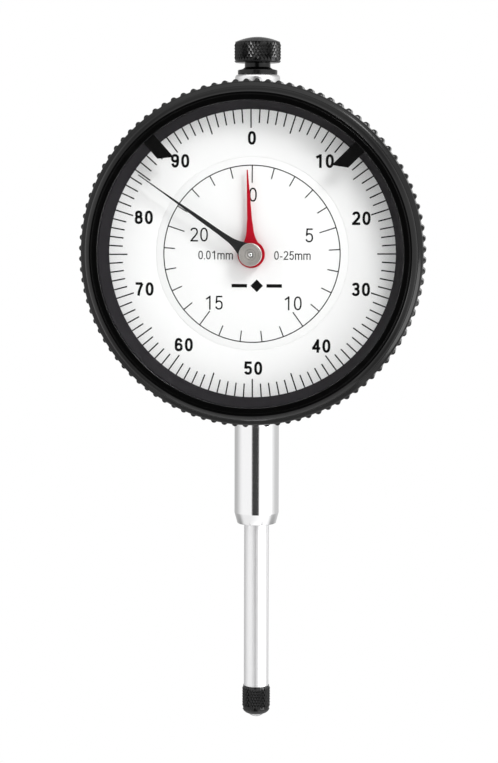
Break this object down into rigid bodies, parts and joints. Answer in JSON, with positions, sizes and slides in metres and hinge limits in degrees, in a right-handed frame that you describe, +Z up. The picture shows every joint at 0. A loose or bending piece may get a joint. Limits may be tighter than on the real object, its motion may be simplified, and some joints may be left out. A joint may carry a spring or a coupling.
{
  "type": "plunger dial indicator",
  "caption": "Round-faced plunger dial indicator with a ribbed turning bezel, two pointers, a clamping stem, a lift knob and a lug back.",
  "frame": {"origin": "middle of the stem's 8 mm clamping cylinder, on its axis", "axes": "+Z up along the spindle towards the lifting knob, dial faces -Y, +X to the right of the dial"},
  "size_m": [0.0604, 0.0384, 0.1229],
  "materials": {
    "black_plastic": "glossy black moulded plastic",
    "matte_black_plastic": "dark matte plastic",
    "case_metal": "satin black enamel on cast metal",
    "rubber": "soft black rubber",
    "ground_steel": "finely ground steel",
    "blackened_steel": "knurled blackened steel",
    "screw_steel": "turned steel",
    "polished_steel": "polished steel",
    "bronze": "sintered bronze",
    "movement_brass": "satin brass",
    "jewel": "polished synthetic ruby",
    "dial_white": "white lacquer with printed scale",
    "pointer_black": "matte black lacquer",
    "pointer_red": "satin red lacquer",
    "hub_metal": "fine turned metal",
    "clear": "clear crystal"
  },
  "bodies": {
    "case": {"case": "case_metal", "back_cover": "case_metal", "back_gasket": "rubber", "back_screws": "screw_steel", "stem": "ground_steel", "stem_bushes": "bronze", "collar": "ground_steel", "upper_bush": "bronze", "front_plate": "movement_brass", "main_plate": "movement_brass", "plate_pillars": "movement_brass", "plate_screws": "screw_steel", "movement_screws": "screw_steel", "rear_bridge": "movement_brass", "bridge_pillars": "movement_brass", "bridge_screws": "screw_steel", "bearing_jewels": "jewel", "guide_rail": "screw_steel", "rail_screws": "screw_steel", "return_spring": "screw_steel", "spring_post": "screw_steel", "hairspring": "screw_steel", "hairspring_stud": "screw_steel", "bezel_snap_wire": "screw_steel", "millimetre_disc": "dial_white", "disc_posts": "movement_brass"},
    "spindle": {"spindle": "ground_steel", "guide_pin": "screw_steel", "lifting_knob": "black_plastic", "contact_body": "blackened_steel", "contact_ball": "polished_steel"},
    "rack_arbor": {"rack_arbor": "screw_steel", "intermediate_wheel": "movement_brass", "counter_pinion": "movement_brass"},
    "centre_arbor": {"centre_arbor": "screw_steel", "main_pointer": "pointer_black", "pointer_hub": "hub_metal"},
    "counter": {"counter_wheel": "movement_brass", "counter_sleeve": "screw_steel", "counter_pointer": "pointer_red"},
    "hairspring_wheel": {"hairspring_wheel": "movement_brass", "hairspring_arbor": "screw_steel"},
    "bezel": {"bezel_ring": "black_plastic", "dial_ring": "dial_white", "spacer_ring": "matte_black_plastic", "crystal": "clear", "crystal_gasket": "rubber", "clamp_ring": "black_plastic"},
    "marker_left": {"marker_left": "matte_black_plastic"},
    "marker_right": {"marker_right": "matte_black_plastic"}
  },
  "joints": [
    {"name": "spindle_slide", "type": "slide", "parent": "case", "child": "spindle", "axis": [0, 0, 1], "range_m": [0, 0.0254], "stiffness_N_per_m": 30, "springref_m": -0.03, "deforming": ["return_spring"]},
    {"name": "rack_arbor_turn", "type": "hinge", "parent": "case", "child": "rack_arbor", "pos_m": [-0.00304, 0, 0.04757], "axis": [0, 1, 0], "continuous": true},
    {"name": "pointer_turn", "type": "hinge", "parent": "case", "child": "centre_arbor", "pos_m": [0, 0, 0.037], "axis": [0, 1, 0], "continuous": true},
    {"name": "counter_turn", "type": "hinge", "parent": "case", "child": "counter", "pos_m": [0, 0, 0.037], "axis": [0, 1, 0], "continuous": true},
    {"name": "hairspring_wheel_turn", "type": "hinge", "parent": "case", "child": "hairspring_wheel", "pos_m": [0.00778, 0, 0.02922], "axis": [0, 1, 0], "continuous": true},
    {"name": "bezel_turn", "type": "hinge", "parent": "case", "child": "bezel", "pos_m": [0, 0, 0.037], "axis": [0, 1, 0], "continuous": true},
    {"name": "marker_left_turn", "type": "hinge", "parent": "bezel", "child": "marker_left", "pos_m": [0, 0, 0.037], "axis": [0, 1, 0], "range_deg": [-115, 30]},
    {"name": "marker_right_turn", "type": "hinge", "parent": "bezel", "child": "marker_right", "pos_m": [0, 0, 0.037], "axis": [0, 1, 0], "range_deg": [-34, 110]}
  ],
  "couplings": [
    {"joint": "rack_arbor_turn", "follows": "spindle_slide", "rad_per_m": -628.32},
    {"joint": "pointer_turn", "follows": "spindle_slide", "rad_per_m": 6283.2},
    {"joint": "counter_turn", "follows": "spindle_slide", "rad_per_m": 251.33},
    {"joint": "hairspring_wheel_turn", "follows": "spindle_slide", "rad_per_m": -628.32}
  ]
}
